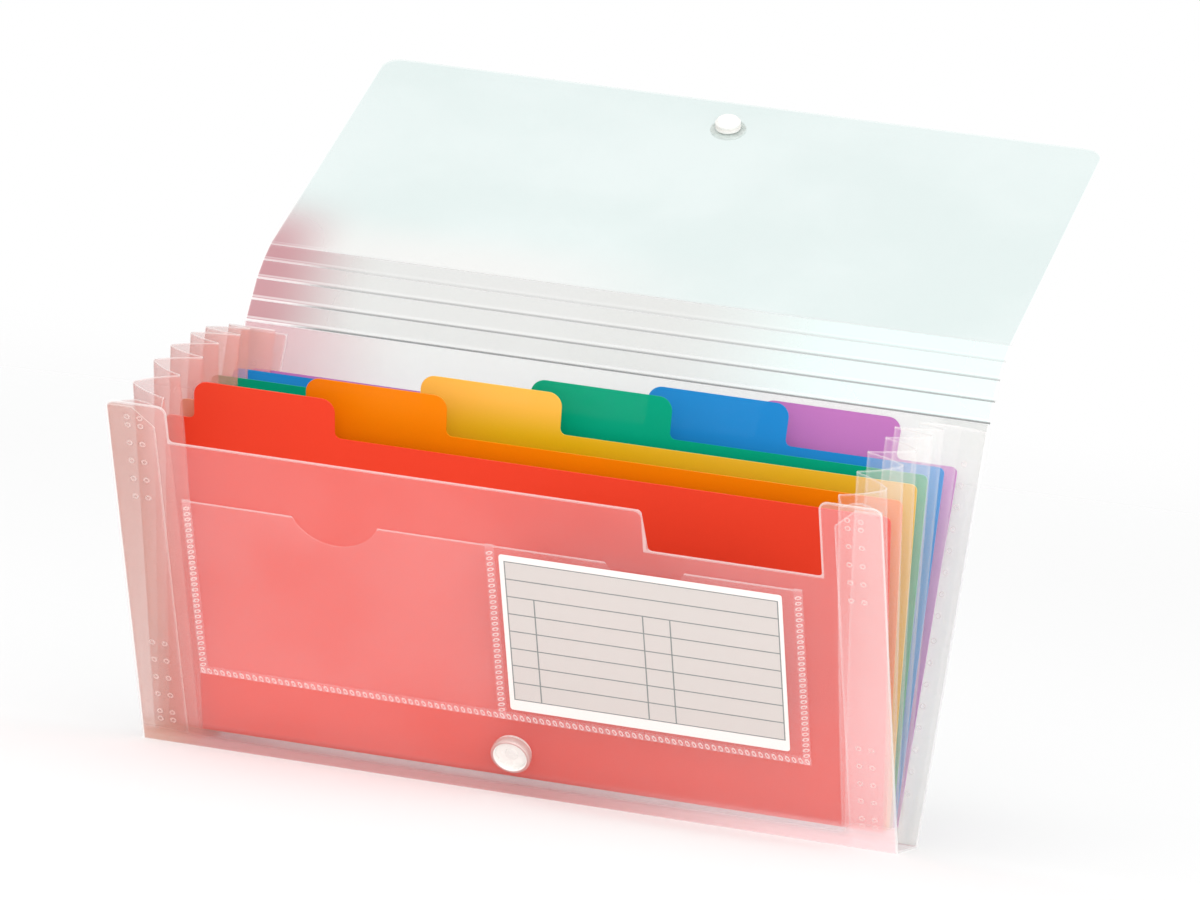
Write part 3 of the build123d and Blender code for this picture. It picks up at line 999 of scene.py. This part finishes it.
def glue_flap(name, leaf, side, material, looks):
    """Flap of the gusset that is welded to the front or back panel, with its cut inner corner."""
    width, half = looks.pleat_width / MM, looks.film / MM / 2
    sign, cut = (-1, CORNER_CUT) if leaf == "front" else (1, 0.0)
    depths = sign * (GLUE_OFFSET - half), sign * (GLUE_OFFSET + half)
    low = GUSSET_FOOT / cos(radians(LEAVES[leaf][2]))
    columns = []
    for step in sorted(FLAP_STEPS | {cut / width}):
        across = side * (GLUE_FOLD - width + width * step)
        levels = film_levels(low, GUSSET_HEIGHT - max(0.0, cut - width * step), looks.rows)
        columns.append([[on_leaf(leaf, across, up, depth) for depth in depths] for up in levels])
    return film_piece(name, columns, [0.0] * len(columns), material, first_is_edge=True)


def half_pleats():
    """Name, first and last column, body and shares at both ends of each half pleat and of the last flat."""
    step = HALF_POINTS - 1
    end = step * (len(HALF_PLEATS) - 1)
    for number, (label, *turn) in enumerate(HALF_PLEATS[:-1]):
        yield label, number * step, min((number + 1) * step, end - 1), *turn
    label, *turn = HALF_PLEATS[-1]
    yield label, end - 1, end, *turn


def unsmooth(weight):
    """Place along a smooth step at which it has a weight."""
    return 0.5 - sin(asin(1 - 2 * weight) / 3)


def blend_span(first_x, last_x, at_first, at_last):
    """X at which a blend starts and ends, so that it has these shares at the two ends of a piece."""
    place, end_place = unsmooth(at_first), unsmooth(at_last)
    slope = (last_x - first_x) / (end_place - place)
    begin = first_x - place * slope
    return begin, begin + slope


class FILE_OT_gussets(bpy.types.Operator):
    """Build the pleated film at both ends"""

    bl_idname = "expanding_file.gussets"
    bl_label = "Gussets"

    def execute(self, context):
        looks = context.scene.gusset_looks
        columns = gusset_columns(looks)
        marks = [1.0] + PLEAT_MARKS * (len(FOLDS) + 1)
        for side, side_name, colour, inner, cover in (
            (-1, "left", looks.left_haze_and_red_bounce, looks.inner_left_haze_and_red_bounce, looks.cover_left),
            (1, "right", looks.tint_right, looks.tint_right, looks.cover_right),
        ):
            material = gusset_film(f"gusset_film_{side_name}", tuple(colour), tuple(inner), cover)
            for label, first, last, body, *shares in half_pleats():
                span = slice(first, last + 1)
                piece = pleat_piece(f"pleat_{side_name}_{label}", columns[span], marks[span], side, material)
                ends = (side * columns[index][-1][0][0] * MM for index in (first, last))
                begin, end = blend_span(*ends, *shares)
                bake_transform(piece)
                if first == 0:
                    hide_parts(f"gusset_{side_name}")
            for leaf in ("front", "back"):
                flap = glue_flap(f"glue_flap_{side_name}_{leaf}", leaf, side, material, looks)
                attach(flap, leaf)
        return {"FINISHED"}


# Pocket, welds, card and snaps

SEAM_SOFT = 0.4
SEAM_CAST = ("front_haze_and_red_bounce", 1.0, 0.1)
POCKET_DIM = 12.0
STITCH_TURN = 24.0

# Rings of a welded mark: reach from its middle, height and rim value
MARK_RINGS = ((1.0, -0.03, 0.0), (1.0, 0.15, 0.6), (0.8, 1.0, 1.0), (0.62, 1.0, 1.0), (0.4, 0.2, 0.0))
MARK_STEPS = 14


def rings_to_faces(rings, vertices, faces):
    """Adds rings of points and the faces between them, with a cap on the first ring and then on the last."""
    first = len(vertices)
    count = len(rings[0])
    for ring in rings:
        vertices.extend(ring)
    for level in range(len(rings) - 1):
        for step in range(count):
            low = first + level * count
            after = (step + 1) % count
            faces.append((low + step, low + after, low + count + after, low + count + step))
    faces.append(tuple(range(first + count - 1, first - 1, -1)))
    top = first + (len(rings) - 1) * count
    faces.append(tuple(range(top, top + count)))


def weld_marks(name, leaf, level, high, ovals, material):
    """Low oval rings, each with a dimple, in one mesh that rides on its leaf.
    An oval is its place across and up, its length and width, and the turn of its length."""
    vertices, faces, rims = [], [], []
    for across, up, long, wide, turn in ovals:
        turned, raised = cos(radians(turn)), sin(radians(turn))
        rings = []
        for reach, out, rim in MARK_RINGS:
            ring = []
            for step in range(MARK_STEPS):
                angle = radians(360 * step / MARK_STEPS)
                along, aside = reach * long / 2 * cos(angle), reach * wide / 2 * sin(angle)
                place = across + along * turned - aside * raised, up + along * raised + aside * turned
                ring.append(on_leaf(leaf, *place, level + out * high))
                rims.append(rim)
            rings.append(ring)
        rings_to_faces(rings, vertices, faces)
    piece = new_piece(name, vertices, faces, material, {"rim": rims})
    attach(piece, leaf)


class FILE_OT_pocket(bpy.types.Operator):
    """Dress the front pocket and weld its seams"""

    bl_idname = "expanding_file.pocket"
    bl_label = "Pocket"

    def execute(self, context):
        cover = context.scene.cover_looks
        looks = context.scene.weld_looks
        left, right, middle, bottom, top = POCKET.values()
        half = POCKET_SEAM / 2
        foot = bottom + POCKET_SEAM
        seams = (left + half, middle, right - half)
        casts = [((("Up", foot + SEAM_SOFT, foot - SEAM_SOFT),), *SEAM_CAST)]
        for seam in seams:
            sides = []
            for way in (-1, 1):
                sides.append(("Across", seam + way * (half + SEAM_SOFT), seam + way * (half - SEAM_SOFT)))
            casts.append((sides, *SEAM_CAST))
        outline = ((-COVER_HALF, COVER_HALF, top, 0.0),)
        tone = ("front_haze_and_red_bounce", 1.0, 0.93)
        # The painted glow along the pocket's cut edges fades out below its top
        dims = {"dim_below": top - POCKET_DIM, "edge_glow_cover": cover.pocket_edge_glow}
        material = film("pocket_film", "front", cover, tone, cover.pocket_cover, outline, (), casts, **dims)
        dress(material, "front_pocket")

        shape = looks.stitch_length / MM, looks.stitch_width / MM
        pitch = looks.stitch_pitch / MM
        ovals = []
        for seam in seams:
            for step in range(int((top - foot) / pitch)):
                ovals.append((seam, foot + (step + 0.5) * pitch, *shape, STITCH_TURN))
        count = int((right - left) / pitch)
        for step in range(count):
            across = left + (step + 0.5) * (right - left) / count
            ovals.append((across, bottom + half, *shape, STITCH_TURN + 90.0))
        high = looks.stitch_height / MM
        material = weld_material("pocket_weld", looks, looks.stitch_cover)
        weld_marks("pocket_welds", "front", POCKET_FACE, high, ovals, material)
        return {"FINISHED"}


class FILE_OT_welds(bpy.types.Operator):
    """Set the weld spots that hold the gusset flaps to the front and the back"""

    bl_idname = "expanding_file.welds"
    bl_label = "Weld spots"

    def execute(self, context):
        looks = context.scene.weld_looks
        material = weld_material("spot_weld", looks, looks.spot_cover)
        pitch, wide, high = looks.spot_pitch / MM, 2 * looks.spot_radius / MM, looks.spot_height / MM
        for leaf, inset, shifts, starts, count in SPOT_ROWS:
            first_gap = PAIR_GAP if len(shifts) > 1 else pitch
            gaps = [0.0] + [first_gap + pitch * number for number in range(count)]
            ovals = [
                (side * (COVER_HALF - inset) + shift, start + way * gap, wide, wide, 0.0)
                for side in (-1, 1)
                for start, way in zip(starts, (-1, 1))
                for gap in gaps
                for shift in shifts
            ]
            weld_marks(f"weld_spots_{leaf}", leaf, SHEET_HALF, high, ovals, material)
        return {"FINISHED"}


class FILE_OT_card(bpy.types.Operator):
    """Dress the index card with its ruled table"""

    bl_idname = "expanding_file.card"
    bl_label = "Index card"

    def execute(self, context):
        dress(card_paper(context.scene.card_looks), "index_card")
        return {"FINISHED"}


class FILE_OT_snaps(bpy.types.Operator):
    """Dress both halves of the snap and their rivets"""

    bl_idname = "expanding_file.snaps"
    bl_label = "Snaps"

    def execute(self, context):
        looks = context.scene.snap_looks
        plastic, rivet = tuple(looks.plastic), tuple(looks.rivet)
        dress(snap_plastic("socket_plastic", plastic, looks, walled=True), "snap_socket")
        dress(snap_plastic("stud_plastic", plastic, looks, walled=False), "snap_stud")
        dress(snap_plastic("rivet_plastic", rivet, looks, walled=False), "socket_rivet", "stud_rivet")
        return {"FINISHED"}


# Stage, in metres. The camera is turned, tilted and rolled, and its focal length is in pixels of its picture.

FLOOR_LEVEL = -0.0001
FLOOR_RINGS = (0.05, 0.35, 0.7, 1.0)
FLOOR_STEPS = 72
FLOOR_FADE = (0.95, 0.35)
LAMP_AIM = (0, 0, 0.1)
KEY_LAMP = {"place": (-0.3, -2.0, 2.0), "width": 1.4}
FILL_LAMP = {"place": (1.0, -2.5, 0.45), "width": 1.8}
CAMERA_TARGET = (0.00987, 0.0, 0.11071)
CAMERA_TURNS = ((15.523, "Z"), (90.0 - 3.782, "X"), (7.07, "Z"))
CAMERA_DISTANCE = 2.681
FOCAL_LENGTH = 8496.3
PICTURE_WIDTH = 1200
SENSOR_WIDTH = 36.0
CLIP_END = 20.0
CLEAR_LAYERS = 48


def lay_floor(looks):
    """Pale round floor that fades out into the white ground."""
    material, tree, shader = surface("floor_paper", specular=0.1)
    place = object_place(tree)
    radius = looks.floor_radius
    tone = tuple(looks.floor_tint)
    colour = mix(times(noise(place, 500.0, 3.0), 0.04), tone, dimmed(tone, 0.9))
    outer, inner = (radius * reach for reach in FLOOR_FADE)
    alpha = ramp(vector("LENGTH", place)["Value"], outer, inner, 0.0, looks.floor_cover)
    fill(shader, {"Base Color": colour, "Roughness": 0.9, "Alpha": alpha})
    turns = [radians(360 * step / FLOOR_STEPS) for step in range(FLOOR_STEPS)]
    rings = [
        [(radius * reach * cos(turn), radius * reach * sin(turn), FLOOR_LEVEL) for turn in turns]
        for reach in FLOOR_RINGS
    ]
    vertices, faces = [], []
    rings_to_faces(rings, vertices, faces)
    faces.pop()
    new_piece("floor", vertices, faces, material)


def light_ground(scene, looks):
    """Light from all round, seen as plain white."""
    world = bpy.data.worlds.new("studio")
    world.use_nodes = True
    scene.world = world
    sky = world.node_tree
    sky.nodes.clear()
    seen = add("LightPath", tree=sky).outputs
    shown = most(*(seen[f"Is {kind} Ray"] for kind in ("Camera", "Glossy", "Transmission")))
    around, white = (
        add("Background", {"Color": (1, 1, 1, 1), "Strength": strength}, sky).outputs[0]
        for strength in (looks.ambient, 1.0)
    )
    both = add("MixShader", {0: shown, 1: around, 2: white}).outputs[0]
    add("OutputWorld", {"Surface": both})


def area_lamp(name, place, width, power):
    """Soft square lamp turned to the file."""
    lamp = bpy.data.lights.new(name, "AREA")
    lamp.size = width
    lamp.energy = power
    made = bpy.data.objects.new(name, lamp)
    made.location = place
    made.rotation_euler = (Vector(LAMP_AIM) - Vector(place)).to_track_quat("-Z", "Y").to_euler()
    bpy.context.scene.collection.objects.link(made)


def set_camera(scene):
    """Camera that looks at its target."""
    lens = bpy.data.cameras.new("camera")
    lens.sensor_width = SENSOR_WIDTH
    lens.lens = FOCAL_LENGTH / PICTURE_WIDTH * SENSOR_WIDTH
    lens.clip_end = CLIP_END
    camera = bpy.data.objects.new("camera", lens)
    scene.collection.objects.link(camera)
    place = Matrix.Translation(CAMERA_TARGET)
    for angle, axis in CAMERA_TURNS:
        place = place @ Matrix.Rotation(radians(angle), 4, axis)
    camera.matrix_world = place @ Matrix.Translation((0, 0, CAMERA_DISTANCE))
    scene.camera = camera


class FILE_OT_stage(bpy.types.Operator):
    """Lay the floor, light the file and set the camera"""

    bl_idname = "expanding_file.stage"
    bl_label = "Stage"

    def execute(self, context):
        scene = context.scene
        looks = scene.stage_looks
        scene.view_settings.view_transform = "Standard"
        scene.cycles.transparent_max_bounces = CLEAR_LAYERS
        lay_floor(looks)
        light_ground(scene, looks)
        area_lamp("key_lamp", **KEY_LAMP, power=looks.key_power)
        area_lamp("fill_lamp", **FILL_LAMP, power=looks.fill_power)
        set_camera(scene)
        return {"FINISHED"}


OPERATORS = (
    FILE_OT_cover, FILE_OT_dividers, FILE_OT_gussets, FILE_OT_pocket,
    FILE_OT_welds, FILE_OT_card, FILE_OT_snaps, FILE_OT_stage,
)


class FILE_PT_looks(bpy.types.Panel):
    """Operators that build the file's looks"""

    bl_label = "Expanding File"
    bl_idname = "FILE_PT_looks"
    bl_space_type = "VIEW_3D"
    bl_region_type = "UI"
    bl_category = "File"

    def draw(self, context):
        for operator in OPERATORS:
            self.layout.operator(operator.bl_idname)


LOOKS = {
    "cover_looks": CoverLooks,
    "gusset_looks": GussetLooks,
    "divider_looks": DividerLooks,
    "weld_looks": WeldLooks,
    "card_looks": CardLooks,
    "snap_looks": SnapLooks,
    "stage_looks": StageLooks,
}


def register():
    for name, kind in LOOKS.items():
        bpy.utils.register_class(kind)
        setattr(bpy.types.Scene, name, PointerProperty(type=kind))
    for kind in (*OPERATORS, FILE_PT_looks):
        bpy.utils.register_class(kind)


def unregister():
    for kind in (FILE_PT_looks, *reversed(OPERATORS)):
        bpy.utils.unregister_class(kind)
    for name, kind in LOOKS.items():
        delattr(bpy.types.Scene, name)
        bpy.utils.unregister_class(kind)


def main():
    """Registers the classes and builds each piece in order."""
    register()
    bpy.ops.expanding_file.cover()
    bpy.ops.expanding_file.dividers()
    bpy.ops.expanding_file.gussets()
    bpy.ops.expanding_file.pocket()
    bpy.ops.expanding_file.welds()
    bpy.ops.expanding_file.card()
    bpy.ops.expanding_file.snaps()
    bpy.ops.expanding_file.stage()


if __name__ == "__main__":
    main()
